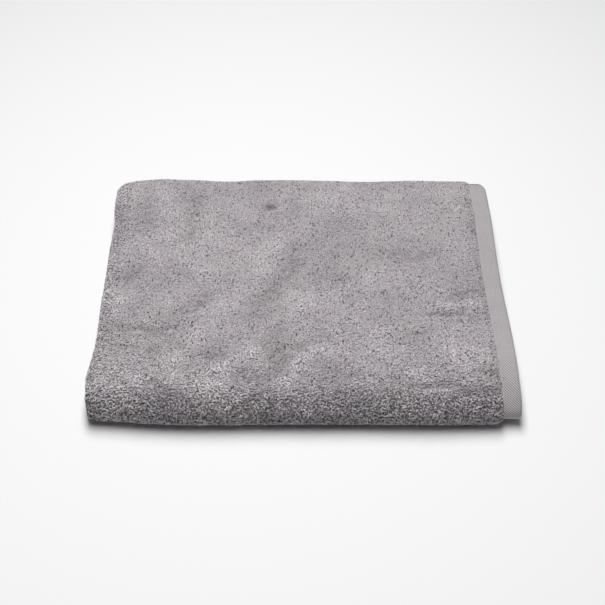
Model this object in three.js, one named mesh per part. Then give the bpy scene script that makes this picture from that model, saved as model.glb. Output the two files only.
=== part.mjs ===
// A grey terry pool towel, folded for the shelf: halved twice along its length, so that four layers lie on each other
// with the folds at the left and the hemmed ends at the right, and then halved across its width round the front fold.
// It is one piece of cloth, so it is one solid: the back-and-forth section of the four layers, led round the front fold.
// Units are millimetres. +X runs along the towel's length, from the folded side to the hems, +Y from the front fold to
// the back edges, and +Z up. The origin is the middle of the footprint, on the surface that the towel lies on.

import * as THREE from "three";

// The cloth as it is woven, cut and hemmed
const TOWEL_LENGTH = 1800;
const TOWEL_WIDTH = 800;
const PILE_THICKNESS = 5.4; // the ground weave with the loops of both faces
const HEM_WIDTH = 22; // the flat woven band at each short end, turned under and sewn
const HEM_THICKNESS = 2.2;
const HEM_STEP = 7; // the loops end over this distance
const SIDE_HEM_WIDTH = 9; // the narrow hem along each long side
const SIDE_HEM_THICKNESS = 4.2;
const SIDE_EDGE_THICKNESS = 2.6; // the rounded edge itself

// How the layers lie
const LAYERS = 4;
const LAYER_GAP = 0.6;
const HALF_GAP = 0.8; // half of the gap between the upper and the lower four layers
const INNER_FOLD_INSET = 6; // the fold among the hems stops short of the top hem's end
const UNDER_HEM_INSET = 3; // and so does the second hem

// Sizes that follow from them
const PITCH = PILE_THICKNESS + LAYER_GAP;
const STACK = LAYERS * PILE_THICKNESS + (LAYERS - 1) * LAYER_GAP;
const SIDE_RADIUS = STACK / 2;
const INNER_RADIUS = (2 * PILE_THICKNESS + LAYER_GAP) / 2;
const FRONT_RADIUS = HALF_GAP + STACK;
const TURN_LINES = (Math.PI * (LAYERS - 1 + 2) * PITCH) / 2; // the middle lines of the three turns, one of them wide
const FOLDED_WIDTH =
  (TOWEL_LENGTH - TURN_LINES + 4 * SIDE_RADIUS + 2 * (INNER_FOLD_INSET + INNER_RADIUS) + UNDER_HEM_INSET) / 4;
const FOLDED_DEPTH = (TOWEL_WIDTH - Math.PI * (HALF_GAP + STACK / 2)) / 2 + FRONT_RADIUS;
const HALF_WIDTH = FOLDED_WIDTH / 2;
const HALF_DEPTH = FOLDED_DEPTH / 2;
const LEFT_CENTRE = -HALF_WIDTH + SIDE_RADIUS;
const RIGHT_CENTRE = HALF_WIDTH - INNER_FOLD_INSET - INNER_RADIUS;
const HEM_LINE = HALF_WIDTH - HEM_WIDTH;

// How finely the solid is cut: shares of a run across the layers, steps of each turn, and steps of the way round
const RUN_SHARES = [0, 0.035, 0.08, 0.16, 0.27, 0.39, 0.51, 0.63, 0.75, 0.88, 1];
const WIDE_TURN_STEPS = 8;
const TIGHT_TURN_STEPS = 5;
const FRONT_STEPS = 10;
const FLAT_SHARES = [0.025, 0.06, 0.11, 0.19, 0.29, 0.4, 0.52, 0.64, 0.76, 0.88];

// The cloth's middle line across the layers, from the top hem to the one under it. Level 3 is the outermost layer and
// level 0 the innermost. face is 1 where the towel's outer face looks up, or to the outside of a turn.
const FOLDED_LINE = [
  { part: "run", level: 3, from: HALF_WIDTH, to: LEFT_CENTRE, face: 1 },
  { part: "turn", way: -1, from: 3, to: 0, steps: WIDE_TURN_STEPS, face: 1 },
  { part: "run", level: 0, from: LEFT_CENTRE, to: RIGHT_CENTRE, face: -1 },
  { part: "turn", way: 1, from: 0, to: 1, steps: TIGHT_TURN_STEPS, face: 1 },
  { part: "run", level: 1, from: RIGHT_CENTRE, to: LEFT_CENTRE, face: 1 },
  { part: "turn", way: -1, from: 1, to: 2, steps: TIGHT_TURN_STEPS, face: -1 },
  { part: "run", level: 2, from: LEFT_CENTRE, to: HALF_WIDTH - UNDER_HEM_INSET, face: -1 },
];

// The rounded corners, as the stretch of each edge that the round takes up. The front ones lie round the front fold.
const CORNERS = [
  { sideX: -1, sideY: 1, across: 27, along: 19 },
  { sideX: 1, sideY: 1, across: 9, along: 17 },
];
const FRONT_CORNER = { along: 7, width: 150 };
const LOWER_LEFT_INSET = 3; // the lower four layers start this much further in than the upper four

// Where the edges are drawn in, or let out where depth is negative: the place along the edge, how deep, and over what
// half width
const EDGE_DRAWS = [
  { axis: "y", way: 1, at: -94, depth: 3.5, width: 26 },
  { axis: "y", way: 1, at: 80, depth: 3, width: 30 },
  { axis: "y", way: 1, at: 205, depth: 3.5, width: 110 },
  { axis: "x", way: 1, at: 15, depth: 3.2, width: 90 },
  { axis: "x", way: -1, at: -92, depth: 2.6, width: 45 },
  { axis: "x", way: -1, at: 160, depth: -4, width: 40 },
  { axis: "x", way: -1, at: -160, depth: -1.5, width: 25 },
];
const EDGE_DRAW_REACH = 90; // how far into the towel a drawn-in edge is felt
const BACK_STAGGER = 3; // the outermost layers end this much short of the innermost ones

// How the height eases off towards the edges, as shares of the full height, and the soft hollows in the top
const EDGE_DROPS = [
  { axis: "y", way: 1, share: 0.15, width: 100 },
  { axis: "y", way: -1, share: 0.05, width: 110 },
  { axis: "x", way: -1, share: 0.05, width: 95 },
];
const HOLLOWS = [
  { x: -150, y: 70, share: 0.025, wide: 55, deep: 60 },
  { x: -30, y: -95, share: 0.03, wide: 70, deep: 40 },
  { x: 120, y: -60, share: 0.035, wide: 80, deep: 35 },
  { x: 40, y: 110, share: 0.02, wide: 60, deep: 50 },
];

const clamp01 = (v) => Math.min(1, Math.max(0, v));

// 0 at from, 1 at to, and smooth between them
function ease(from, to, v) {
  const t = clamp01((v - from) / (to - from));
  return t * t * (3 - 2 * t);
}

const mix = (a, b, share) => a + (b - a) * share;
const bell = (v, width) => Math.exp(-((v / width) ** 2));

// The cloth's thickness at a place along the folded width: loops, or the flat hem
const thicknessAt = (x) => mix(PILE_THICKNESS, HEM_THICKNESS, clamp01((x - HEM_LINE) / HEM_STEP + 0.5));

// The middle of a layer above the innermost face. The hems lie lower, because they are thin and lie on each other.
function layerMiddle(level, x) {
  const thickness = level < 2 ? PILE_THICKNESS : thicknessAt(x);
  const under = level < 3 ? level * PITCH : 2 * PITCH + thickness + LAYER_GAP;
  return under + thickness / 2;
}

// The places at which a run across the layers is cut. Only a run that ends in a hem goes past the hem's step.
function runPlaces(row) {
  const far = Math.max(row.from, row.to);
  const stepStart = HEM_LINE - HEM_STEP / 2;
  const places = RUN_SHARES.map((share) => mix(LEFT_CENTRE, stepStart, share));
  if (row.level >= 2) places.push(HEM_LINE, stepStart + HEM_STEP);
  places.push(far);
  return row.from > row.to ? places.reverse() : places;
}

// The middle line as a list of points, each with the way that the outer face looks there and half the thickness
function middleLine() {
  const points = [];
  for (const row of FOLDED_LINE) {
    if (row.part === "run") {
      for (const x of runPlaces(row)) {
        const half = (row.level < 2 ? PILE_THICKNESS : thicknessAt(x)) / 2;
        points.push({ x, rise: layerMiddle(row.level, x), faceX: 0, faceRise: row.face, half });
      }
      continue;
    }
    const centre = row.way < 0 ? LEFT_CENTRE : RIGHT_CENTRE;
    const [start, end] = [layerMiddle(row.from, centre), layerMiddle(row.to, centre)];
    const radius = Math.abs(end - start) / 2;
    const sense = Math.sign(start - end);
    for (let i = 1; i < row.steps; i++) {
      const angle = (Math.PI * i) / row.steps;
      const [outX, outRise] = [row.way * Math.sin(angle), sense * Math.cos(angle)];
      points.push({
        x: centre + radius * outX,
        rise: (start + end) / 2 + radius * outRise,
        faceX: row.face * outX,
        faceRise: row.face * outRise,
        half: PILE_THICKNESS / 2,
      });
    }
  }
  return points;
}

// The way round the front fold: places on the upper half from the back edge, the turn, and the lower half. most is the
// greatest thickness that the cloth has there, because the long sides are hemmed.
function wayRound() {
  const centre = -HALF_DEPTH + FRONT_RADIUS;
  const sideHem = HALF_DEPTH - SIDE_HEM_WIDTH;
  const flat = [
    { y: HALF_DEPTH, most: SIDE_EDGE_THICKNESS },
    { y: HALF_DEPTH - SIDE_EDGE_THICKNESS / 2, most: SIDE_HEM_THICKNESS },
    { y: sideHem, most: SIDE_HEM_THICKNESS },
    { y: sideHem - PILE_THICKNESS, most: PILE_THICKNESS },
    ...FLAT_SHARES.map((share) => ({ y: mix(sideHem - PILE_THICKNESS, centre, share), most: PILE_THICKNESS })),
  ];
  const turn = Array.from({ length: FRONT_STEPS + 1 }, (_, i) => ({
    y: centre,
    angle: (Math.PI * i) / FRONT_STEPS,
    most: PILE_THICKNESS,
  }));
  const upper = flat.map((stop) => ({ ...stop, angle: 0 }));
  const lower = flat.map((stop) => ({ ...stop, angle: Math.PI })).reverse();
  return [...upper, ...turn, ...lower];
}

// The share of its full height that the folded towel has at a place
function heightShare(x, y) {
  let share = 1;
  for (const drop of EDGE_DROPS) {
    const [v, half] = drop.axis === "x" ? [x, HALF_WIDTH] : [y, HALF_DEPTH];
    share -= drop.share * ease(half - drop.width, half, v * drop.way);
  }
  for (const hollow of HOLLOWS)
    share -= hollow.share * bell(x - hollow.x, hollow.wide) * bell(y - hollow.y, hollow.deep);
  return share;
}

// Rounds a corner: the square beyond the round's start is drawn together into a quarter of an oval
function roundCorner(point, corner) {
  const startX = HALF_WIDTH - corner.across;
  const startY = HALF_DEPTH - corner.along;
  const u = clamp01((point.x * corner.sideX - startX) / corner.across);
  const v = clamp01((point.y * corner.sideY - startY) / corner.along);
  if (u === 0 || v === 0) return;
  point.x = corner.sideX * (startX + corner.across * u * Math.sqrt(1 - (v * v) / 2));
  point.y = corner.sideY * (startY + corner.along * v * Math.sqrt(1 - (u * u) / 2));
}

// Moves a point of the straight fold to where it lies in the soft one. The foot stays flat.
function soften(x, y, z) {
  const point = new THREE.Vector3(x, y, z * heightShare(x, y));
  for (const corner of CORNERS) roundCorner(point, corner);
  for (const draw of EDGE_DRAWS) {
    const across = draw.axis === "x";
    const [v, half, along] = across ? [x, HALF_WIDTH, y] : [y, HALF_DEPTH, x];
    const reach = ease(half - EDGE_DRAW_REACH, half, v * draw.way);
    point[draw.axis] -= draw.way * draw.depth * reach * bell(along - draw.at, draw.width);
  }
  const stagger = (BACK_STAGGER * Math.abs(z - FRONT_RADIUS)) / FRONT_RADIUS;
  point.y -= stagger * ease(HALF_DEPTH - EDGE_DRAW_REACH, HALF_DEPTH, y);
  const low = 1 - ease(FRONT_RADIUS * 0.85, FRONT_RADIUS * 1.15, z);
  point.x += LOWER_LEFT_INSET * low * ease(HALF_WIDTH - EDGE_DRAW_REACH, HALF_WIDTH, -x);
  const atLeft = ease(HALF_WIDTH - FRONT_CORNER.width, HALF_WIDTH, -x) ** 2;
  point.y += FRONT_CORNER.along * atLeft * ease(HALF_DEPTH - EDGE_DRAW_REACH, HALF_DEPTH, -y);
  return point;
}

// Leads the section of the layers round the front fold and closes it at both back edges
function foldedCloth() {
  const line = middleLine();
  const stops = wayRound();
  const outline = [
    ...line.map((point) => ({ ...point, side: 1 })),
    ...line.map((point) => ({ ...point, side: -1 })).reverse(),
  ];
  const place = (point, stop) => {
    const out = point.side * Math.min(point.half, stop.most / 2);
    const x = point.x + out * point.faceX;
    const radius = HALF_GAP + point.rise + out * point.faceRise;
    const y = stop.y - radius * Math.sin(stop.angle);
    return soften(x, y, FRONT_RADIUS + radius * Math.cos(stop.angle));
  };
  const positions = stops.flatMap((stop) => outline.flatMap((point) => place(point, stop).toArray()));
  const count = outline.length;
  const faces = [];
  for (let j = 0; j + 1 < stops.length; j++)
    for (let i = 0; i < count; i++) {
      const next = (i + 1) % count;
      const [a, b, c, d] = [j * count + i, j * count + next, (j + 1) * count + next, (j + 1) * count + i];
      faces.push(a, b, c, a, c, d);
    }
  // Each back edge is closed across the cloth, from its outer face to its inner one
  const last = (stops.length - 1) * count;
  for (let i = 0; i + 1 < line.length; i++) {
    const [a, b, c, d] = [i, i + 1, count - 2 - i, count - 1 - i];
    faces.push(a, c, b, a, d, c);
    faces.push(last + a, last + b, last + c, last + a, last + c, last + d);
  }
  const geometry = new THREE.BufferGeometry();
  geometry.setAttribute("position", new THREE.Float32BufferAttribute(positions, 3));
  geometry.setIndex(faces);
  geometry.computeBoundingBox();
  const middle = geometry.boundingBox.getCenter(new THREE.Vector3());
  geometry.translate(-middle.x, -middle.y, 0);
  geometry.computeVertexNormals();
  return geometry;
}

const terry = new THREE.MeshStandardMaterial({ color: 0x9c979a, roughness: 0.95, metalness: 0 });

const cloth = new THREE.Mesh(foldedCloth(), terry);
cloth.name = "towel_cloth";

const towel = new THREE.Group();
towel.add(cloth);

export default towel;
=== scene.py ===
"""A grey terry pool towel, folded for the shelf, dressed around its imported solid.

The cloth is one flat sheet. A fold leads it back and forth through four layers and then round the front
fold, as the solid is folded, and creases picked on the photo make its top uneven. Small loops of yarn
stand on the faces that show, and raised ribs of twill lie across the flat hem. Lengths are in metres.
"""

from __future__ import annotations

import logging
import math
from dataclasses import dataclass
from enum import Enum
from functools import cached_property
from typing import NamedTuple

import bmesh
import bpy
import numpy as np
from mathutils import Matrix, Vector


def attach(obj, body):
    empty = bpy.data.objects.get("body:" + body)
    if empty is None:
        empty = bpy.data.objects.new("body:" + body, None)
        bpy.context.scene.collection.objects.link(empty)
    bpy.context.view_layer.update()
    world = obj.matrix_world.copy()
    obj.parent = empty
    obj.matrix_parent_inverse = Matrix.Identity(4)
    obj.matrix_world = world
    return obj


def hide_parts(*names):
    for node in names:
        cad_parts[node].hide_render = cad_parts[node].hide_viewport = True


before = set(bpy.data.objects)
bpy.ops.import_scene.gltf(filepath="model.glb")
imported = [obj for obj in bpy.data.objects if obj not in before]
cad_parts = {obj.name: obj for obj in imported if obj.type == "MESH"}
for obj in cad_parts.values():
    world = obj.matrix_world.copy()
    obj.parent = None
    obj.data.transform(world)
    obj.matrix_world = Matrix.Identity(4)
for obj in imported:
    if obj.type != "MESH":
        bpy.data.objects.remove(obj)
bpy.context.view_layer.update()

CLOTH_NODE = "towel_cloth"
BODY = "root"
MM = 0.001
CLOTH_LENGTH = 1.8
CLOTH_WIDTH = 0.8
RIB_PITCH = 2.35 * MM
RIB_SLANT = math.radians(53)

log = logging.getLogger("folded_towel")

# The main creases and ridges of the top, in millimetres: from x and y, to x and y, height and half width.
# They were picked by eye on the photo, turned into the towel's own sizes by a scratch script, and rounded by
# hand, the places to 5 mm. A place beyond the front fold's start lies on the unrolled cloth.
CREASES = (
    (-185, 150, -190, 105, -1.2, 11),
    (-130, 155, -135, 70, -2.2, 9),
    (-40, 140, -40, 130, -2.2, 9),
    (-10, 155, -15, 120, -1.0, 8),
    (-75, 90, -70, 85, -1.4, 7),
    (190, 150, 200, 150, -1.6, 7),
    (160, 150, 165, 155, -0.8, 7),
    (200, 100, 200, 85, -1.4, 8),
    (205, 125, 205, 140, -0.8, 7),
    (-210, -5, -205, -5, -2.4, 8),
    (-200, 0, -190, 20, -1.8, 8),
    (0, 50, -5, 35, -1.2, 8),
    (-10, 30, -20, 5, -1.4, 9),
    (-20, 0, -40, -35, -1.2, 9),
    (-35, -35, -45, -60, -1.4, 11),
    (-105, -35, -130, -60, -2.4, 8),
    (-210, -85, -180, -90, -2.0, 7),
    (-170, -95, -145, -90, -1.8, 8),
    (-195, -60, -190, -70, -1.0, 8),
    (-30, -100, -25, -150, -2.4, 11),
    (-25, -125, 10, -110, -1.6, 6),
    (25, -100, 30, -100, -1.6, 5),
    (165, -35, 190, -25, -2.2, 7),
    (145, -65, 175, -65, -2.2, 5),
    (180, -70, 205, -70, -2.4, 5),
    (100, -110, 135, -90, -1.2, 8),
    (-155, -175, -135, -190, -2.4, 6),
    (115, -180, 160, -175, -2.2, 5),
    (165, -185, 205, -180, -2.4, 5),
    (190, -160, 210, -160, -2.0, 5),
    (-100, -135, -85, -130, -1.0, 7),
    (75, -135, 105, -155, -1.2, 6),
    (95, -20, 100, -25, -0.8, 12),
    (-135, -115, -165, -125, -0.8, 6),
    (30, -155, 50, -165, -1.0, 5),
    (-65, -155, -45, -165, -1.2, 6),
    (-200, -125, -175, -120, -0.8, 6),
    (-5, -150, 20, -140, -0.8, 5),
    (-185, 70, -175, 25, 1.0, 11),
    (-110, 10, -110, 0, 1.6, 8),
    (-25, 75, -25, 60, 0.8, 8),
    (-5, -40, 5, -50, 1.0, 12),
    (-115, -100, -140, -145, 1.8, 12),
    (-85, -150, -55, -130, 1.8, 11),
    (-15, -170, -5, -150, 1.8, 11),
    (5, -140, 15, -130, 1.6, 9),
    (20, -125, 40, -125, 1.2, 9),
    (55, -150, 75, -155, 1.2, 11),
    (150, -120, 180, -140, 1.8, 16),
    (95, -145, 125, -165, 1.4, 8),
    (-225, -30, -200, -40, 1.4, 8),
    (-150, -165, -130, -165, 1.2, 9),
    (155, -55, 190, -50, 1.4, 5),
    (160, -30, 165, -30, 1.2, 7),
    (120, -185, 155, -185, 1.2, 4),
    (170, -170, 200, -170, 1.2, 4),
    (-110, -175, -80, -180, 1.2, 7),
    (45, -175, 70, -175, 1.0, 7),
    (-195, -155, -175, -165, 0.8, 9),
)


class Part(Enum):
    """What a stretch of the cloth's middle line is."""

    RUN = "run"
    TURN = "turn"


class Axis(Enum):
    """The way across an edge of the folded towel."""

    ACROSS = 0
    DEEP = 1


class Stretch(NamedTuple):
    """A stretch of the middle line: a run on one level, or a turn from one level to the next."""

    part: Part
    level: int
    next_level: int
    start: float
    end: float
    face: int
    length: float


class Corner(NamedTuple):
    """A rounded corner of the outline, as the stretch of each edge that the round takes up."""

    side_x: int
    side_y: int
    across: float
    along: float


class EdgeDraw(NamedTuple):
    """Where an edge is drawn in, or let out if depth is negative."""

    axis: Axis
    way: int
    at: float
    depth: float
    width: float


class EdgeDrop(NamedTuple):
    """How the height eases off towards an edge, as a share of the full height."""

    axis: Axis
    way: int
    share: float
    width: float


class Hollow(NamedTuple):
    """A soft hollow in all the layers, as a share of the full height."""

    x: float
    y: float
    share: float
    wide: float
    deep: float


class Crease(NamedTuple):
    """A soft trough, or a ridge if height is positive, from one place on the unrolled top to another."""

    x0: float
    y0: float
    x1: float
    y1: float
    height: float
    width: float


def ease(start: float, end: float, value: np.ndarray) -> np.ndarray:
    """Rises smoothly from 0 at start to 1 at end.

    Args:
        start: Where the rise begins.
        end: Where it ends.
        value: The places at which it is wanted.

    Returns:
        The share at each place.
    """
    t = np.clip((value - start) / (end - start), 0.0, 1.0)
    return t * t * (3.0 - 2.0 * t)


def bell(value: np.ndarray, width: float) -> np.ndarray:
    """A soft hump of height 1 and the given half width."""
    return np.exp(-((value / width) ** 2))


def lengths_of(vectors: np.ndarray) -> np.ndarray:
    """The length of each vector, kept as a last column so that it divides them."""
    return np.linalg.norm(vectors, axis=-1, keepdims=True)


@dataclass(frozen=True)
class Unevenness:
    """Smooth seeded noise over a plane, with values from about -1 to 1."""

    seed: int
    scale: float
    lattice: int = 256

    def at(self, x: np.ndarray, y: np.ndarray) -> np.ndarray:
        """Reads the noise.

        Args:
            x: First coordinates, in metres.
            y: Second coordinates, in metres.

        Returns:
            One value for each pair.
        """
        knots = np.random.default_rng(self.seed).uniform(-1.0, 1.0, (self.lattice, self.lattice))
        u, v = x / self.scale, y / self.scale
        i, j = np.floor(u).astype(int), np.floor(v).astype(int)
        fu, fv = ease(0.0, 1.0, u - i), ease(0.0, 1.0, v - j)
        i0, i1 = i % self.lattice, (i + 1) % self.lattice
        j0, j1 = j % self.lattice, (j + 1) % self.lattice
        near = knots[i0, j0] * (1.0 - fu) + knots[i1, j0] * fu
        far = knots[i0, j1] * (1.0 - fu) + knots[i1, j1] * fu
        return near * (1.0 - fv) + far * fv


@dataclass(frozen=True)
class Pits:
    """Small pits scattered over a plane, where the loops part."""

    seed: int
    apart: float
    jitter: float = 0.85
    lattice: int = 512

    def nearest(self, x: np.ndarray, y: np.ndarray) -> tuple[np.ndarray, ...]:
        """Finds the nearest pit.

        Args:
            x: First coordinates, in metres.
            y: Second coordinates, in metres.

        Returns:
            The way from the pit to each place, in x and in y, and how deep the pit is, from 0 to 1.
        """
        random = np.random.default_rng(self.seed)
        shifts = random.uniform(-0.5, 0.5, (self.lattice, self.lattice, 2)) * self.jitter
        depths = random.uniform(0.0, 1.0, (self.lattice, self.lattice))
        i, j = np.floor(x / self.apart).astype(int), np.floor(y / self.apart).astype(int)
        best_x, best_y, depth = np.full_like(x, 1.0), np.full_like(y, 1.0), np.zeros_like(x)
        for step_i in (-1, 0, 1):
            for step_j in (-1, 0, 1):
                u, v = i + step_i, j + step_j
                shift = shifts[u % self.lattice, v % self.lattice]
                off_x = x - (u + 0.5 + shift[..., 0]) * self.apart
                off_y = y - (v + 0.5 + shift[..., 1]) * self.apart
                nearer = off_x**2 + off_y**2 < best_x**2 + best_y**2
                best_x, best_y = np.where(nearer, off_x, best_x), np.where(nearer, off_y, best_y)
                depth = np.where(nearer, depths[u % self.lattice, v % self.lattice], depth)
        return best_x, best_y, depth


@dataclass(frozen=True)
class Fold:
    """How the flat cloth is folded: four layers back and forth, and then halved round the front fold.

    A place on the cloth is given by its distance along the cloth from the top hem's end, and by its distance
    round from the upper back edge, measured on the outermost face. It lies on a face of the cloth, a given
    distance out from the cloth's middle.
    """

    cloth_length: float = CLOTH_LENGTH
    cloth_width: float = CLOTH_WIDTH
    pile_thickness: float = 5.4 * MM
    hem_width: float = 22 * MM
    hem_thickness: float = 2.2 * MM
    hem_step: float = 7 * MM
    side_hem_width: float = 9 * MM
    side_hem_thickness: float = 4.2 * MM
    side_edge_thickness: float = 2.6 * MM
    layers: int = 4
    layer_gap: float = 0.6 * MM
    half_gap: float = 0.8 * MM
    inner_fold_inset: float = 6 * MM
    under_hem_inset: float = 3 * MM
    front_corner_along: float = 8 * MM
    front_corner_width: float = 150 * MM
    lower_left_inset: float = 0.5 * MM
    lower_from: float = 1.15
    lower_to: float = 0.85
    edge_draw_reach: float = 90 * MM
    back_stagger: float = 3 * MM
    corners: tuple[Corner, ...] = (
        Corner(-1, 1, 31 * MM, 16 * MM),
        Corner(1, 1, 9 * MM, 17 * MM),
    )
    edge_draws: tuple[EdgeDraw, ...] = (
        EdgeDraw(Axis.DEEP, 1, -94 * MM, 3.5 * MM, 26 * MM),
        EdgeDraw(Axis.DEEP, 1, 80 * MM, 3 * MM, 30 * MM),
        EdgeDraw(Axis.DEEP, 1, 205 * MM, 3.5 * MM, 110 * MM),
        EdgeDraw(Axis.DEEP, 1, 40 * MM, 1.8 * MM, 32 * MM),
        EdgeDraw(Axis.DEEP, 1, -180 * MM, -2.8 * MM, 26 * MM),
        EdgeDraw(Axis.ACROSS, -1, 192 * MM, -2.0 * MM, 16 * MM),
        EdgeDraw(Axis.DEEP, -1, 20 * MM, 2.2 * MM, 150 * MM),
        EdgeDraw(Axis.DEEP, -1, 215 * MM, 2.6 * MM, 55 * MM),
        EdgeDraw(Axis.ACROSS, 1, 15 * MM, 2.6 * MM, 90 * MM),
        EdgeDraw(Axis.ACROSS, 1, 0.0, -0.9 * MM, 900 * MM),
        EdgeDraw(Axis.ACROSS, -1, -92 * MM, 2.6 * MM, 45 * MM),
        EdgeDraw(Axis.ACROSS, -1, 160 * MM, -4 * MM, 40 * MM),
        EdgeDraw(Axis.ACROSS, -1, -158 * MM, -2.2 * MM, 22 * MM),
        EdgeDraw(Axis.ACROSS, -1, -206 * MM, 2.2 * MM, 22 * MM),
        EdgeDraw(Axis.ACROSS, -1, 0.0, 1.1 * MM, 38 * MM),
        EdgeDraw(Axis.ACROSS, -1, 112 * MM, 1.2 * MM, 24 * MM),
    )
    edge_drops: tuple[EdgeDrop, ...] = (
        EdgeDrop(Axis.DEEP, 1, 0.15, 100 * MM),
        EdgeDrop(Axis.DEEP, -1, 0.10, 80 * MM),
        EdgeDrop(Axis.ACROSS, -1, 0.05, 95 * MM),
    )
    hollows: tuple[Hollow, ...] = (
        Hollow(-150 * MM, 70 * MM, 0.025, 55 * MM, 60 * MM),
        Hollow(-30 * MM, -95 * MM, 0.03, 70 * MM, 40 * MM),
        Hollow(120 * MM, -60 * MM, 0.035, 80 * MM, 35 * MM),
        Hollow(40 * MM, 110 * MM, 0.02, 60 * MM, 50 * MM),
        Hollow(218 * MM, -192 * MM, 0.13, 42 * MM, 30 * MM),
    )
    creases: tuple[Crease, ...] = tuple(Crease(*(size * MM for size in row)) for row in CREASES)
    swells: tuple[tuple[Unevenness, float], ...] = (
        (Unevenness(3, 46 * MM), 0.8 * MM),
        (Unevenness(4, 19 * MM), 0.45 * MM),
    )
    lowest_crease_angle: float = 2.4
    broken: Unevenness = Unevenness(5, 9 * MM)
    breakup: float = 0.7
    square_from: float = 0.9
    square_to: float = 2.0
    outline_steps: tuple[int, int] = (500, 700)

    @property
    def pitch(self) -> float:
        """The height of one layer with the gap above it."""
        return self.pile_thickness + self.layer_gap

    @property
    def stack(self) -> float:
        """The height of the four layers."""
        return self.layers * self.pile_thickness + (self.layers - 1) * self.layer_gap

    @property
    def side_radius(self) -> float:
        """The outer radius of the wide turn at the left."""
        return self.stack / 2

    @property
    def inner_radius(self) -> float:
        """The outer radius of a turn between two neighbouring levels."""
        return (2 * self.pile_thickness + self.layer_gap) / 2

    @property
    def front_radius(self) -> float:
        """The outer radius of the front fold."""
        return self.half_gap + self.stack

    @property
    def half_width(self) -> float:
        """Half the folded width, from the left fold to the top hem's end."""
        turns = math.pi * (self.layers + 1) * self.pitch / 2
        ends = 4 * self.side_radius + 2 * (self.inner_fold_inset + self.inner_radius) + self.under_hem_inset
        return (self.cloth_length - turns + ends) / 8

    @property
    def flat_depth(self) -> float:
        """How far the outermost layer runs flat from its back edge to the front fold."""
        return (self.cloth_width - math.pi * (self.half_gap + self.stack / 2)) / 2

    @property
    def half_depth(self) -> float:
        """Half the folded depth."""
        return (self.flat_depth + self.front_radius) / 2

    @property
    def left_centre(self) -> float:
        """Where the turns at the left have their centre."""
        return -self.half_width + self.side_radius

    @property
    def right_centre(self) -> float:
        """Where the turn among the hems has its centre."""
        return self.half_width - self.inner_fold_inset - self.inner_radius

    @property
    def round_length(self) -> float:
        """The way round the outermost face, from the upper back edge to the lower one."""
        return 2 * self.flat_depth + math.pi * self.front_radius

    @property
    def first_run(self) -> float:
        """The length of the top layer, from the hem's end to the left turn."""
        return self.half_width - self.left_centre

    def stretches(self) -> list[Stretch]:
        """Lists the middle line's stretches, from the top hem to the one under it.

        Returns:
            The stretches. Level 3 is outermost, and a turn's start is its centre.
        """
        left, right, near = self.left_centre, self.right_centre, self.pitch / 2 * math.pi
        under = self.half_width - self.under_hem_inset
        return [
            Stretch(Part.RUN, 3, 3, self.half_width, left, 1, self.first_run),
            Stretch(Part.TURN, 3, 0, left, -1, 1, 3 * near),
            Stretch(Part.RUN, 0, 0, left, right, -1, right - left),
            Stretch(Part.TURN, 0, 1, right, 1, 1, near),
            Stretch(Part.RUN, 1, 1, right, left, 1, right - left),
            Stretch(Part.TURN, 1, 2, left, -1, -1, near),
            Stretch(Part.RUN, 2, 2, left, under, -1, under - left),
        ]

    def thickness(self, x: np.ndarray) -> np.ndarray:
        """The thickness of the loops or of the flat hem.

        Args:
            x: Places across the towel.

        Returns:
            The thickness at each place.
        """
        hem = np.clip((x - self.half_width + self.hem_width) / self.hem_step + 0.5, 0.0, 1.0)
        return self.pile_thickness + (self.hem_thickness - self.pile_thickness) * hem

    def layer_middle(self, level: int, x: np.ndarray) -> np.ndarray:
        """The middle of a layer above the innermost face.

        Args:
            level: The layer, from 0, the innermost, to 3.
            x: The places across the towel.

        Returns:
            The rise at each place. The two hems lie lower than the loops beside them.
        """
        thickness = self.thickness(x) if level >= 2 else np.full_like(x, self.pile_thickness)
        under = level * self.pitch if level < 3 else 2 * self.pitch + thickness + self.layer_gap
        return under + thickness / 2

    def middle_line(self, along: np.ndarray) -> tuple[np.ndarray, ...]:
        """Follows the cloth's middle across the layers.

        Args:
            along: Distances along the cloth from the top hem's end.

        Returns:
            At each distance, x, the rise above the innermost face, the outer face's way in x and in rise,
            and half the thickness.
        """
        slack = 1e-9
        x, rise, face_x, face_rise = (np.zeros_like(along) for _ in range(4))
        half = np.full_like(along, self.pile_thickness / 2)
        begin = 0.0
        for stretch in self.stretches():
            inside = (along >= begin - slack) & (along <= begin + stretch.length + slack)
            done = along[inside] - begin
            begin += stretch.length
            if stretch.part is Part.RUN:
                x[inside] = stretch.start + np.sign(stretch.end - stretch.start) * done
                rise[inside] = self.layer_middle(stretch.level, x[inside])
                face_x[inside], face_rise[inside] = 0.0, stretch.face
                if stretch.level >= 2:
                    half[inside] = self.thickness(x[inside]) / 2
                continue
            levels = (stretch.level, stretch.next_level)
            ends = [float(self.layer_middle(level, np.array(stretch.start))) for level in levels]
            radius, sense = abs(ends[1] - ends[0]) / 2, np.sign(ends[0] - ends[1])
            angle = math.pi * done / stretch.length
            out_x, out_rise = stretch.end * np.sin(angle), sense * np.cos(angle)
            x[inside], rise[inside] = stretch.start + radius * out_x, sum(ends) / 2 + radius * out_rise
            face_x[inside], face_rise[inside] = stretch.face * out_x, stretch.face * out_rise
        return x, rise, face_x, face_rise, half

    def way_round(self, round_: np.ndarray) -> tuple[np.ndarray, np.ndarray]:
        """Follows the cloth round the front fold.

        Args:
            round_: Distances round the outermost face from the upper back edge.

        Returns:
            At each distance, the y of the flat part or of the front fold's centre, and the angle turned.
        """
        flat, turn = self.flat_depth, math.pi * self.front_radius
        angle = np.clip((round_ - flat) / self.front_radius, 0.0, math.pi)
        y = self.half_depth - np.minimum(round_, flat) + np.maximum(round_ - flat - turn, 0.0)
        return y, angle

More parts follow.
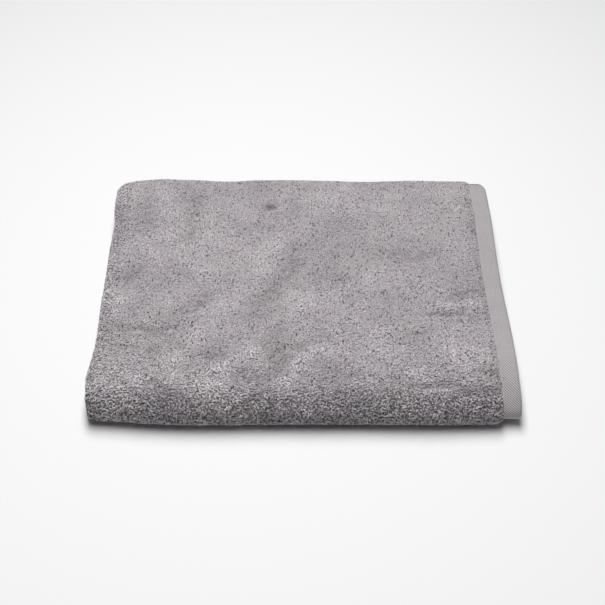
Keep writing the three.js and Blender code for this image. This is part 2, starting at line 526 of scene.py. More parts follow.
    def edge_limit(self, round_: np.ndarray) -> np.ndarray:
        """Limits the thickness near the hemmed long sides.

        Args:
            round_: Distances round from the upper back edge.

        Returns:
            Half the greatest thickness that the cloth has at each.
        """
        inset = np.minimum(round_, self.round_length - round_)
        edge, hem = self.side_edge_thickness, self.side_hem_thickness
        places = (0.0, edge / 2, self.side_hem_width, self.side_hem_width + self.pile_thickness)
        return np.interp(inset, places, (edge, hem, hem, self.pile_thickness)) / 2

    def relief(self, x: np.ndarray, unrolled: np.ndarray) -> np.ndarray:
        """The height that the creases and swells add to the top.

        Args:
            x: Places across the towel.
            unrolled: Places along its depth, carried on round the front fold.

        Returns:
            The height at each place.
        """
        height = sum(size * swell.at(x, unrolled) for swell, size in self.swells)
        broken = 1.0 + self.breakup * self.broken.at(x, unrolled)
        for crease in self.creases:
            run = np.array([crease.x1 - crease.x0, crease.y1 - crease.y0])
            off_x, off_y = x - crease.x0, unrolled - crease.y0
            share = np.clip((off_x * run[0] + off_y * run[1]) / (run @ run), 0.0, 1.0)
            away = np.hypot(off_x - share * run[0], off_y - share * run[1])
            height = height + crease.height * bell(away, crease.width) * broken
        return height

    def height_share(self, x: np.ndarray, y: np.ndarray) -> np.ndarray:
        """The share of its full height that the folded towel has.

        Args:
            x: Places across the towel.
            y: Places along its depth.

        Returns:
            The share at each place.
        """
        share = np.ones_like(x)
        for drop in self.edge_drops:
            value, half = ((x, self.half_width), (y, self.half_depth))[drop.axis.value]
            share = share - drop.share * ease(half - drop.width, half, value * drop.way)
        for hollow in self.hollows:
            share = share - hollow.share * bell(x - hollow.x, hollow.wide) * bell(y - hollow.y, hollow.deep)
        return share

    def soften(self, x: np.ndarray, y: np.ndarray, z: np.ndarray) -> np.ndarray:
        """Moves points of the straight fold to where they lie in the soft one.

        Args:
            x: Their places across the towel.
            y: Their places along its depth.
            z: Their heights.

        Returns:
            One row of three coordinates for each point.
        """
        places = [x.copy(), y.copy(), z * self.height_share(x, y)]
        for corner in self.corners:
            start_x, start_y = self.half_width - corner.across, self.half_depth - corner.along
            u = np.clip((places[0] * corner.side_x - start_x) / corner.across, 0.0, 1.0)
            v = np.clip((places[1] * corner.side_y - start_y) / corner.along, 0.0, 1.0)
            within = (u > 0.0) & (v > 0.0)
            round_x = corner.side_x * (start_x + corner.across * u * np.sqrt(1.0 - v * v / 2.0))
            round_y = corner.side_y * (start_y + corner.along * v * np.sqrt(1.0 - u * u / 2.0))
            places[0] = np.where(within, round_x, places[0])
            places[1] = np.where(within, round_y, places[1])
        for draw in self.edge_draws:
            value, half, other = ((x, self.half_width, y), (y, self.half_depth, x))[draw.axis.value]
            reach = ease(half - self.edge_draw_reach, half, value * draw.way)
            places[draw.axis.value] -= draw.way * draw.depth * reach * bell(other - draw.at, draw.width)
        stagger = self.back_stagger * np.abs(z - self.front_radius) / self.front_radius
        places[1] -= stagger * ease(self.half_depth - self.edge_draw_reach, self.half_depth, y)
        low = 1.0 - ease(self.front_radius * self.lower_to, self.front_radius * self.lower_from, z)
        near_left = ease(self.half_width - self.edge_draw_reach, self.half_width, -x)
        places[0] += self.lower_left_inset * low * near_left
        at_left = ease(self.half_width - self.front_corner_width, self.half_width, -x) ** 2
        near_front = ease(self.half_depth - self.edge_draw_reach, self.half_depth, -y)
        places[1] += self.front_corner_along * at_left * near_front
        return np.stack(places, axis=-1)

    def fill_corner(
        self, x: np.ndarray, radius: np.ndarray, angle: np.ndarray,
    ) -> tuple[np.ndarray, np.ndarray]:
        """Makes the left fold's round profile squarer where the towel's weight lies on its front fold.

        Args:
            x: Places across the towel.
            radius: Distances out from the front fold's axis, or from the middle of the flat towel.
            angle: The angle turned round the front fold.

        Returns:
            The new places and distances.
        """
        size, least = self.side_radius, 1e-12
        u = np.maximum(self.left_centre - x, 0.0) / size
        v = (radius - self.half_gap - self.stack / 2) / size
        wider = np.hypot(u, v) / np.maximum(u**4 + v**4, least) ** 0.25 - 1.0
        wider = wider * ease(self.square_from, self.square_to, angle) * (u > 0.0)
        x = np.where(u > 0.0, self.left_centre - u * (1.0 + wider) * size, x)
        return x, radius + v * wider * size

    def place(self, along: np.ndarray, round_: np.ndarray, out: np.ndarray) -> np.ndarray:
        """Finds where places on the flat cloth lie in the folded towel.

        Args:
            along: Distances along the cloth from the top hem's end.
            round_: Distances round from the upper back edge.
            out: Distances out from the cloth's middle, on the side of its outer face.

        Returns:
            One row of three coordinates for each place.
        """
        x, rise, face_x, face_rise, _ = self.middle_line(along)
        y, angle = self.way_round(round_)
        x = x + out * face_x
        radius = self.half_gap + rise + out * face_rise
        creased = 1.0 - ease(self.lowest_crease_angle / 2, self.lowest_crease_angle, angle)
        unrolled = y - self.front_radius * angle
        radius = radius + self.relief(x, unrolled) * creased * radius / self.front_radius
        x, radius = self.fill_corner(x, radius, angle)
        y, z = y - radius * np.sin(angle), self.front_radius + radius * np.cos(angle)
        return self.soften(x, y, z) - self.middle

    @cached_property
    def middle(self) -> np.ndarray:
        """The middle of the soft outline, which the solid has at its origin."""
        along = np.linspace(0.0, self.first_run + 3 * self.pitch / 2 * math.pi, self.outline_steps[0])
        round_ = np.linspace(0.0, self.round_length, self.outline_steps[1])
        along, round_ = (grid.ravel() for grid in np.meshgrid(along, round_))
        x, rise, face_x, face_rise, half = self.middle_line(along)
        y, angle = self.way_round(round_)
        half = np.minimum(half, self.edge_limit(round_))
        radius = self.half_gap + rise + half * face_rise
        x, radius = self.fill_corner(x + half * face_x, radius, angle)
        outline = self.soften(x, y - radius * np.sin(angle), self.front_radius + radius * np.cos(angle))
        middle = (outline.min(axis=0) + outline.max(axis=0)) / 2
        middle[2] = 0.0
        return middle


class MeshArrays(NamedTuple):
    """A mesh before it is made: the vertices' places, its triangles, and each corner's place on the maps."""

    places: np.ndarray
    triangles: np.ndarray
    maps: dict[str, np.ndarray]


def places_of(mesh: bpy.types.Mesh) -> np.ndarray:
    """The places of a mesh's vertices, one row each."""
    places = np.empty(3 * len(mesh.vertices), np.float32)
    mesh.vertices.foreach_get("co", places)
    return places.reshape(-1, 3).astype(float)


def corner_vertices(mesh: bpy.types.Mesh) -> np.ndarray:
    """The vertex that each corner of each face stands on."""
    found = np.empty(len(mesh.loops), np.int32)
    mesh.loops.foreach_get("vertex_index", found)
    return found


def add_map(mesh: bpy.types.Mesh, name: str, values: np.ndarray) -> None:
    """Gives a mesh a named map.

    Args:
        mesh: The mesh.
        name: The map's name.
        values: One row of two numbers for each corner of each face.
    """
    layer = mesh.uv_layers.new(name=name, do_init=False)
    layer.uv.foreach_set("vector", values.astype(np.float32).ravel())


def joined_mesh(name: str, arrays: MeshArrays) -> bpy.types.Mesh:
    """Makes one mesh from the arrays of many copies.

    Args:
        name: The mesh's name.
        arrays: The places, triangles and maps.

    Returns:
        The smooth mesh.
    """
    mesh = bpy.data.meshes.new(name)
    count = len(arrays.triangles)
    mesh.vertices.add(len(arrays.places))
    mesh.vertices.foreach_set("co", arrays.places.astype(np.float32).ravel())
    mesh.loops.add(3 * count)
    mesh.loops.foreach_set("vertex_index", arrays.triangles.astype(np.int32).ravel())
    mesh.polygons.add(count)
    mesh.polygons.foreach_set("loop_start", np.arange(0, 3 * count, 3, dtype=np.int32))
    mesh.update(calc_edges=True)
    mesh.shade_smooth()
    for map_name, values in arrays.maps.items():
        add_map(mesh, map_name, values)
    return mesh


def piece_of(name: str, mesh: bpy.types.Mesh, finish: bpy.types.Material) -> bpy.types.Object:
    """Puts a mesh in the scene as a piece of the towel.

    Args:
        name: The piece's name.
        mesh: Its mesh.
        finish: Its material.

    Returns:
        The piece, which rides on the towel's one body.
    """
    mesh.materials.append(finish)
    piece = bpy.data.objects.new(name, mesh)
    bpy.context.scene.collection.objects.link(piece)
    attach(piece, BODY)
    log.info("%s: %d triangles", name, sum(len(face.vertices) - 2 for face in mesh.polygons))
    return piece


@dataclass(frozen=True)
class Cover:
    """Where the outer face of the cloth carries modelled loops, and how deep the ground lies under them."""

    fold: Fold
    ground: float = 1.0 * MM
    starts: float = 20.5 * MM
    under_angle: float = math.radians(162)
    blend: float = 5 * MM
    inner_margin: float = 5 * MM

    @property
    def left_turn(self) -> tuple[float, float]:
        """Where along the cloth the wide turn at the left begins and ends."""
        begin = self.fold.first_run
        return begin, begin + self.fold.stretches()[1].length

    @property
    def right_turn(self) -> tuple[float, float]:
        """Where along the cloth the turn among the hems begins and ends."""
        first = [stretch.length for stretch in self.fold.stretches()[:4]]
        return sum(first[:3]), sum(first)

    @property
    def ends_round(self) -> float:
        """How far round the loops of the outermost layer go."""
        return self.fold.flat_depth + self.fold.front_radius * self.under_angle

    def share(self, along: np.ndarray, round_: np.ndarray) -> np.ndarray:
        """How far the ground has sunk from the outer face.

        Args:
            along: Distances along the cloth.
            round_: Distances round.

        Returns:
            The share at each place.
        """
        top = ease(self.starts - self.blend, self.starts, along)
        top = top * (1.0 - ease(self.ends_round, self.ends_round + 2 * self.blend, round_))
        sides = np.zeros_like(along)
        for begin, end in (self.left_turn, self.right_turn):
            rises = ease(begin - self.inner_margin - self.blend, begin - self.inner_margin, along)
            falls = ease(end + self.inner_margin, end + self.inner_margin + self.blend, along)
            sides = np.maximum(sides, rises * (1.0 - falls))
        top = top * (1.0 - ease(self.left_turn[1], self.left_turn[1] + self.blend, along))
        return np.maximum(top, sides)

    def outer(self, along: np.ndarray, round_: np.ndarray) -> np.ndarray:
        """How far out from its middle the sheet's outer face lies.

        Args:
            along: Distances along the cloth.
            round_: Distances round.

        Returns:
            The distance at each place.
        """
        half = np.minimum(self.fold.middle_line(along)[4], self.fold.edge_limit(round_))
        return half + (np.minimum(half, self.ground) - half) * self.share(along, round_)

    def inner(self, along: np.ndarray, round_: np.ndarray) -> np.ndarray:
        """How far in from its middle the sheet's inner face lies.

        Args:
            along: Distances along the cloth.
            round_: Distances round.

        Returns:
            The distance at each place.
        """
        return np.minimum(self.fold.middle_line(along)[4], self.fold.edge_limit(round_))


@dataclass(frozen=True)
class ClothSheet:
    """The sheet itself: the ground weave with its flat hems, folded as a whole."""

    cover: Cover
    hem_steps: int = 9
    hem_reach: float = 28 * MM
    top_steps: int = 66
    wide_turn_steps: int = 12
    hidden_steps: int = 11
    tight_turn_steps: int = 8
    edge_insets: tuple[float, ...] = (0.0, 1.3 * MM, 4 * MM, 9 * MM, 12 * MM, 14.4 * MM)
    upper_steps: int = 48
    front_steps: int = 24
    lower_steps: int = 18
    visible_share: float = 0.5
    rest_share: float = 0.25
    map_margin: float = 0.004

    def along_stations(self) -> np.ndarray:
        """Finds where the sheet is cut along its length.

        Returns:
            The distances along the cloth, from the top hem's end.
        """
        fold = self.cover.fold
        lengths = [stretch.length for stretch in fold.stretches()]
        steps = (self.wide_turn_steps, self.hidden_steps, self.tight_turn_steps, self.hidden_steps)
        stations = [np.linspace(0.0, self.hem_reach, self.hem_steps + 1)[:-1]]
        stations.append(np.linspace(self.hem_reach, lengths[0], self.top_steps + 1)[:-1])
        begin = lengths[0]
        for length, count in zip(lengths[1:], (*steps, self.tight_turn_steps)):
            stations.append(np.linspace(begin, begin + length, count + 1)[:-1])
            begin += length
        last = begin + lengths[-1]
        stations.append(np.linspace(begin, last - self.hem_reach, self.hidden_steps + 1)[:-1])
        stations.append(np.linspace(last - self.hem_reach, last, self.hem_steps + 1))
        return np.concatenate(stations)

    def round_stations(self) -> np.ndarray:
        """Finds where the sheet is cut along its width.

        Returns:
            The distances round, from the upper back edge to the lower one.
        """
        fold = self.cover.fold
        turn_end = fold.round_length - fold.flat_depth
        insets = np.array(self.edge_insets)
        upper = np.linspace(insets[-1], fold.flat_depth, self.upper_steps + 1)[1:-1]
        turn = np.linspace(fold.flat_depth, turn_end, self.front_steps + 1)[:-1]
        lower = np.linspace(turn_end, fold.round_length - insets[-1], self.lower_steps + 1)[:-1]
        return np.concatenate([insets, upper, turn, lower, (fold.round_length - insets)[::-1]])

    def bake_map(
        self, along: np.ndarray, round_: np.ndarray, outer: np.ndarray, faces: np.ndarray,
    ) -> np.ndarray:
        """Lays the sheet out for baking: the part that shows gets half of the picture.

        Args:
            along: Each corner's distance along the cloth.
            round_: Its distance round.
            outer: Whether it stands on the outer face.
            faces: The number of the face that each corner belongs to.

        Returns:
            One row of two numbers for each corner.
        """
        fold, margin = self.cover.fold, self.map_margin
        shown = self.cover.left_turn[1] + 2 * self.cover.blend
        count = np.bincount(faces)
        mean_along = (np.bincount(faces, along) / count)[faces]
        mean_outer = (np.bincount(faces, outer.astype(float)) / count)[faces]
        length, width = fold.cloth_length, fold.round_length
        near_none, near_all = 0.01, 0.99
        outside = mean_outer > near_none
        rim = outside & (mean_outer < near_all)
        second, third = self.visible_share, self.visible_share + self.rest_share
        blocks = (
            (outside & (mean_along < shown), 0.0, shown, 0.0, self.visible_share),
            (outside & (mean_along >= shown), shown, length, second, self.rest_share),
            (~outside, 0.0, length, third, self.rest_share),
        )
        u = np.zeros_like(along)
        for chosen, begin, end, start, size in blocks:
            share = (along - begin) / (end - begin)
            u = np.where(chosen, start + 2 * margin + share * (size - 4 * margin), u)
        v = 2 * margin + round_ / width * (1.0 - 4 * margin)
        sunk = rim & ~outer
        u = u + np.where(sunk & (along < MM), -margin, 0.0)
        u = u + np.where(sunk & (along > length - MM), margin, 0.0)
        v = v + np.where(sunk & (round_ < MM), -margin, 0.0)
        v = v + np.where(sunk & (round_ > width - MM), margin, 0.0)
        return np.stack([u, v], axis=-1)

    def build(self, finish: bpy.types.Material) -> bpy.types.Object:
        """Makes the sheet flat, one grid with a thickness, and folds it.

        Args:
            finish: Its material.

        Returns:
            The piece.
        """
        alongs, rounds = self.along_stations(), self.round_stations()
        flat = bmesh.new()
        bmesh.ops.create_grid(flat, x_segments=len(alongs) - 1, y_segments=len(rounds) - 1, size=0.5)
        bmesh.ops.solidify(flat, geom=flat.faces[:], thickness=1.0)
        mesh = bpy.data.meshes.new("cloth_sheet")
        flat.to_mesh(mesh)
        flat.free()
        grid = places_of(mesh)
        along = alongs[np.rint((grid[:, 0] + 0.5) * (len(alongs) - 1)).astype(int)]
        round_ = rounds[np.rint((grid[:, 1] + 0.5) * (len(rounds) - 1)).astype(int)]
        outer = grid[:, 2] > -0.5
        out = np.where(outer, self.cover.outer(along, round_), -self.cover.inner(along, round_))
        places = self.cover.fold.place(along, round_, out)
        mesh.vertices.foreach_set("co", places.astype(np.float32).ravel())
        corners = corner_vertices(mesh)
        sizes = np.empty(len(mesh.polygons), np.int32)
        mesh.polygons.foreach_get("loop_total", sizes)
        faces = np.repeat(np.arange(len(sizes)), sizes)
        add_map(mesh, "Weave", np.stack([along[corners], round_[corners]], axis=-1))
        add_map(mesh, "OFBake", self.bake_map(along[corners], round_[corners], outer[corners], faces))
        turned = bmesh.new()
        turned.from_mesh(mesh)
        bmesh.ops.recalc_face_normals(turned, faces=turned.faces[:])
        turned.to_mesh(mesh)
        turned.free()
        mesh.shade_smooth()
        return piece_of("cloth_sheet", mesh, finish)


class LoopShape(NamedTuple):
    """A loop of yarn: each vertex's place on the arch, its way out from it and its height as a share."""

    centre: np.ndarray
    offset: np.ndarray
    share: np.ndarray
    triangles: np.ndarray
    cell: np.ndarray


@dataclass(frozen=True)
class YarnLoop:
    """How one kind of loop is made and how the loops of its kind differ."""

    steps: int = 3
    sides: int = 3
    yarn: float = 0.8 * MM
    half_span: float = 1.3 * MM
    height: float = 0.95 * MM
    uneven: float = 0.22
    lean: float = 0.3
    gather: float = 0.9
    curl: float = 0.4 * MM
    pit: float = 0.9 * MM
    sunk: float = 0.3 * MM
    turning: float = 0.6

    def shape(self) -> LoopShape:
        """Spins a small ring through half a turn and closes both ends.

        Returns:
            The loop's shape on an arch of radius 1 with a yarn of radius 1.
        """
        thin = 0.1
        loop = bmesh.new()
        bmesh.ops.create_circle(loop, cap_ends=False, segments=self.sides, radius=thin)
        bmesh.ops.translate(loop, verts=loop.verts[:], vec=(1.0, 0.0, 0.0))
        bmesh.ops.spin(
            loop, geom=loop.edges[:], cent=(0, 0, 0), axis=(0, -1, 0), angle=math.pi, steps=self.steps,
        )
        bmesh.ops.holes_fill(loop, edges=loop.edges[:], sides=self.sides)
        bmesh.ops.triangulate(loop, faces=loop.faces[:])
        bmesh.ops.recalc_face_normals(loop, faces=loop.faces[:])
        places = np.array([vertex.co for vertex in loop.verts])
        triangles = np.array([[vertex.index for vertex in face.verts] for face in loop.faces])
        loop.free()
        turn = np.arctan2(places[:, 2], places[:, 0])
        turn = np.where(turn < -0.1, turn + 2 * math.pi, turn)
        centre = np.stack([np.cos(turn), np.zeros_like(turn), np.sin(turn)], axis=-1)
        offset = (places - centre) / thin
        way_out = np.einsum("ij,ij->i", offset, centre)
        around = np.rint(np.arctan2(offset[:, 1], way_out) / (2 * math.pi) * self.sides) % self.sides
        return LoopShape(centre, offset, np.sin(turn), triangles, self.cell(turn, around, triangles))

    def cell(self, turn: np.ndarray, around: np.ndarray, triangles: np.ndarray) -> np.ndarray:
        """Lays one loop out in a square cell of the baking map.

        Args:
            turn: Each vertex's angle on the arch.
            around: Its number round the yarn.
            triangles: The vertices of each triangle.

        Returns:
            Two numbers for each corner of each triangle, from 0 to 1.
        """
        margin_u, margin_v, beside_end, flat = 0.2, 0.15, 0.07, 0.01
        side = around[triangles]
        wraps = (side.max(axis=1) - side.min(axis=1)) > 1
        flat_ends = np.ptp(turn[triangles], axis=1) < flat
        side = np.where(wraps[:, None] & ~flat_ends[:, None] & (side == 0), self.sides, side)
        u = margin_u + (1.0 - 2 * margin_u) * turn[triangles] / math.pi
        v = margin_v + (1.0 - 2 * margin_v) * side / self.sides
        beside = np.where(u > 0.5, beside_end, -beside_end) * (side == 1)
        return np.stack([np.where(flat_ends[:, None], u + beside, u), v], axis=-1)


@dataclass(frozen=True)
class Patch:
    """A stretch of the outer face that carries loops."""

    name: str
    along: tuple[float, float]
    round_: tuple[float, float]
    loop: YarnLoop
    spacing: float
    stretch: float = 1.0


@dataclass(frozen=True)
class Pile:
    """The loops that stand on the faces that show, in patches."""

    cover: Cover
    pits: Pits = Pits(11, 5.0 * MM)
    heights: Unevenness = Unevenness(13, 6 * MM)
    shades: Unevenness = Unevenness(14, 4 * MM)
    jitter: float = 0.38
    top_patches: tuple[tuple[str, float], ...] = (
        ("pile_back", 2.35 * MM),
        ("pile_middle_back", 2.25 * MM),
        ("pile_middle_front", 2.19 * MM),
        ("pile_front", 2.13 * MM),
    )
    loose_places: tuple[float, ...] = (0.0, 0.5, 0.75, 0.9, 1.0, 1.05)
    loose_shares: tuple[float, ...] = (0.0, 0.03, 0.06, 0.12, 0.32, 1.0)
    side_loose: float = 0.4
    side_reach: tuple[float, float] = (-12 * MM, 6 * MM)
    loose_height: float = 1.7
    loose_lean: float = 0.35
    loose_curl: float = 1.2
    loose_turning: float = 2.0
    # Painted shade: the loops are coloured darker towards and over the front fold.
    front_shade: float = 0.1
    # The share of the painted root shade that the loops get where the pile is pressed flat; curly loops get
    # all of it.
    root_shade_seen: float = 0.2
    loose_contrast: float = 3.2
    pit_depth: float = 0.6
    # Painted shade: how much darker the loops in a pit are coloured.
    pit_shade: float = 0.45
    strand_tone: float = 0.06
    shade_tone: float = 0.08
    # Painted light and shade of the relief: loops coloured lighter on ridges and darker in troughs.
    relief_shade_gain: float = 0.5
    relief_shade_height: float = 2.0 * MM
    relief_shade_limits: tuple[float, float] = (-1.2, 0.8)
    edge: float = 1.2 * MM
    nose_lead: float = 6 * MM
    nose_spacing: float = 2.25 * MM
    left_spacing: float = 2.5 * MM
    inner_spacing: float = 3.6 * MM
    fullness: float = 0.9
    patchy: float = 0.6
    spans: tuple[float, float] = (0.75, 1.25)
    yarns: tuple[float, float] = (0.85, 1.15)
    bend_power: float = 1.5
    least_apart: float = 0.1 * MM
    first_seed: int = 100

    def patches(self) -> list[Patch]:
        """Lists the patches.

        Returns:
            The patches, from the back of the top round to the folds at the sides.
        """
        fold, cover = self.cover.fold, self.cover
        loop, nose_loop = YarnLoop(), YarnLoop(steps=4)
        flat, left, right = fold.flat_depth, cover.left_turn, cover.right_turn
        across = (cover.starts, left[0])
        nose_start = flat - self.nose_lead
        cuts = np.linspace(self.edge, nose_start, len(self.top_patches) + 1)
        rows = [
            Patch(name, across, (float(cuts[i]), float(cuts[i + 1])), loop, spacing)
            for i, (name, spacing) in enumerate(self.top_patches)
        ]
        rows.append(Patch("pile_nose", across, (nose_start, cover.ends_round), nose_loop, self.nose_spacing))
        wide = fold.side_radius / (3 * fold.pitch / 2)
        ends = (self.edge, fold.round_length - self.edge)
        rows.append(Patch("pile_left_fold", left, ends, loop, self.left_spacing, wide))
        tight = fold.inner_radius / (fold.pitch / 2)
        rows.append(Patch("pile_inner_fold", right, ends, loop, self.inner_spacing, tight))
        return rows

    def seats(self, patch: Patch, random: np.random.Generator) -> tuple[np.ndarray, np.ndarray]:
        """Finds where the loops of a patch stand.

        Args:
            patch: The patch.
            random: Where its randomness comes from.

        Returns:
            The distances along and round of each loop.
        """
        place = self.cover.fold.place
        columns = max(1, round((patch.along[1] - patch.along[0]) * patch.stretch / patch.spacing))
        rows = max(1, round((patch.round_[1] - patch.round_[0]) / patch.spacing))
        cells = np.meshgrid(np.arange(columns), np.arange(rows), indexing="ij")
        i, j = (grid.ravel() for grid in cells)
        shift = random.uniform(-self.jitter, self.jitter, (2, i.size))
        along = patch.along[0] + (i + 0.5 + shift[0]) / columns * (patch.along[1] - patch.along[0])
        round_ = patch.round_[0] + (j + 0.5 + shift[1]) / rows * (patch.round_[1] - patch.round_[0])
        step = 0.5 * MM
        out = self.cover.outer(along, round_)
        way_along = place(along + step, round_, out) - place(along - step, round_, out)
        way_round = place(along, round_ + step, out) - place(along, round_ - step, out)
        area = np.linalg.norm(np.cross(way_along, way_round), axis=1)
        fair = np.median(area) * self.fullness
        kept = random.uniform(0.0, 1.0, i.size) < area / fair
        return along[kept], round_[kept]

    def face(self, along: np.ndarray, round_: np.ndarray) -> np.ndarray:
        """Where places of the sheet's outer face lie.

        Args:
            along: Distances along the cloth.
            round_: Distances round.

        Returns:
            One row of three coordinates for each place.
        """
        return self.cover.fold.place(along, round_, self.cover.outer(along, round_))

    def frames(self, along: np.ndarray, round_: np.ndarray) -> tuple[np.ndarray, ...]:
        """Finds how the outer face lies at each loop.

        Args:
            along: The loops' distances along.
            round_: Their distances round.

        Returns:
            The foot of each loop, and the ways along, round and out.
        """
        fold, cover, step = self.cover.fold, self.cover, 1.0 * MM
        low, high = np.maximum(along - step, 0.0), np.minimum(along + step, fold.cloth_length)
        near, far = np.maximum(round_ - step, 0.0), np.minimum(round_ + step, fold.round_length)
        way_along = self.face(high, round_) - self.face(low, round_)
        way_round = self.face(along, far) - self.face(along, near)
        foot = self.face(along, round_)
        way_along = way_along / lengths_of(way_along)
        out = np.cross(way_along, way_round)
        out = out / lengths_of(out)
        beyond = fold.place(along, round_, cover.outer(along, round_) + step) - foot
        out = out * np.sign(np.einsum("ij,ij->i", out, beyond))[:, None]
        return foot, way_along, np.cross(out, way_along), out

    def front_looseness(self, round_: np.ndarray) -> np.ndarray:
        """How loose the pile is: pressed flat at the back of the top, and curly over the front fold.

        Args:
            round_: The loops' distances round.

        Returns:
            The share at each loop.
        """
        return np.interp(round_ / self.cover.fold.flat_depth, self.loose_places, self.loose_shares)

    def looseness(self, along: np.ndarray, round_: np.ndarray) -> np.ndarray:
        """How loose the pile is, with the left fold's part added.

        Args:
            along: The loops' distances along.
            round_: Their distances round.

        Returns:
            The share at each loop, from 0, pressed flat, to 1, curly.
        """
        begin = self.cover.left_turn[0]
        side = self.side_loose * ease(begin + self.side_reach[0], begin + self.side_reach[1], along)
        return np.maximum(self.front_looseness(round_), side)

    def relief_light_and_shade(self, along: np.ndarray, round_: np.ndarray) -> np.ndarray:
        """The painted light and shade of the relief: how much lighter the loops are coloured on ridges, and
        darker in troughs.

        Args:
            along: The loops' distances along.
            round_: Their distances round.

        Returns:
            What each loop's shade gains.
        """
        fold = self.cover.fold
        x = fold.middle_line(along)[0]
        y, angle = fold.way_round(round_)
        height = fold.relief(x, y - fold.front_radius * angle)
        return np.clip(height / self.relief_shade_height, *self.relief_shade_limits) * self.relief_shade_gain

    def grow(self, patch: Patch, seed: int, finish: bpy.types.Material) -> bpy.types.Object:
        """Grows the loops of a patch as one joined mesh.

        Args:
            patch: The patch.
            seed: Its seed.
            finish: Its material.

        Returns:
            The piece.
        """
        random = np.random.default_rng(seed)
        along, round_ = self.seats(patch, random)
        foot, way_a, way_b, out = self.frames(along, round_)
        loop, shape, count = patch.loop, patch.loop.shape(), len(along)
        off_a, off_b, depth = self.pits.nearest(along, round_)
        apart = np.hypot(off_a, off_b)
        parted = loop.gather * depth * bell(apart, self.pits.apart / 2) / np.maximum(apart, self.least_apart)
        loose = self.looseness(along, round_)
        lean = loop.lean * (1.0 + self.loose_lean * loose)
        lean_a = parted * off_a + lean * random.normal(0.0, 1.0, count)
        lean_b = parted * off_b + lean * random.normal(0.0, 1.0, count)
        wavy = self.patchy * self.heights.at(along, round_)
        tall = 1.0 + loop.uneven * (wavy + random.uniform(-0.5, 0.5, count))
        in_pit = depth * bell(apart, loop.pit)
        tall = tall * loop.height * (1.0 + self.loose_height * loose) * (1.0 - self.pit_depth * in_pit)
        wide = (loop.half_span * random.uniform(*self.spans, count))[:, None]
        thick = (loop.yarn * random.uniform(*self.yarns, count))[:, None]
        angle = math.pi / 2 + (loop.turning + self.loose_turning * loose) * random.normal(0.0, 1.0, count)
        curl = loop.curl * (1.0 + self.loose_curl * loose) * random.normal(0.0, 1.0, count)
        share = shape.share[None, :]
        centre, offset = shape.centre[None], shape.offset[None]
        local_a = centre[..., 0] * wide + offset[..., 0] * thick
        local_b = offset[..., 1] * thick + curl[:, None] * centre[..., 0] * share * 2
        local_h = centre[..., 2] * tall[:, None] + offset[..., 2] * thick
        cosine, sine = np.cos(angle)[:, None], np.sin(angle)[:, None]
        bend = tall[:, None] * np.maximum(share, 0.0) ** self.bend_power
        a = cosine * local_a - sine * local_b + lean_a[:, None] * bend
        b = sine * local_a + cosine * local_b + lean_b[:, None] * bend
        foot = foot - loop.sunk * out
        places = foot[:, None, :] + a[..., None] * way_a[:, None, :] + b[..., None] * way_b[:, None, :]
        places = places + local_h[..., None] * out[:, None, :]
        places[..., 2] = np.maximum(places[..., 2], 0.0)
        vertices = len(shape.share)
        triangles = shape.triangles[None] + (np.arange(count) * vertices)[:, None, None]
        varied = self.strand_tone * random.normal(0.0, 1.0, count)
        varied = varied + self.shade_tone * self.shades.at(along, round_)
        value = 0.5 + varied * (1.0 + self.loose_contrast * loose)
        # Painted light and shade: loops lighter on ridges and darker in troughs, and painted shade darker in
        # pits.
        value = value + self.relief_light_and_shade(along, round_) - self.pit_shade * in_pit
        # Painted shade, darker towards and over the front fold.
        value = value - self.front_shade * self.front_looseness(round_)
        value = np.clip(value, 0.0, 1.0)
        # How much painted shade each loop gets towards its foot.
        root_shade_depth = (self.root_shade_seen + (1.0 - self.root_shade_seen) * loose)[:, None, None]
        corner_share = 1.0 - root_shade_depth * (1.0 - shape.share[shape.triangles][None])
        strand = np.stack([np.broadcast_to(value[:, None, None], triangles.shape), corner_share], axis=-1)
        side = math.ceil(math.sqrt(count))
        cell = np.stack([np.arange(count) % side, np.arange(count) // side], axis=-1)
        bake = (cell[:, None, None, :] + shape.cell[None]) / side
        maps = {"Strand": strand.reshape(-1, 2), "OFBake": bake.reshape(-1, 2)}
        arrays = MeshArrays(places.reshape(-1, 3), triangles.reshape(-1, 3), maps)
        return piece_of(patch.name, joined_mesh(patch.name, arrays), finish)

    def build(self, finish: bpy.types.Material) -> list[bpy.types.Object]:
        """Grows all the patches, each from a seed of its own.

        Args:
            finish: Their material.

        Returns:
            The pieces.
        """
        return [self.grow(patch, self.first_seed + i, finish) for i, patch in enumerate(self.patches())]


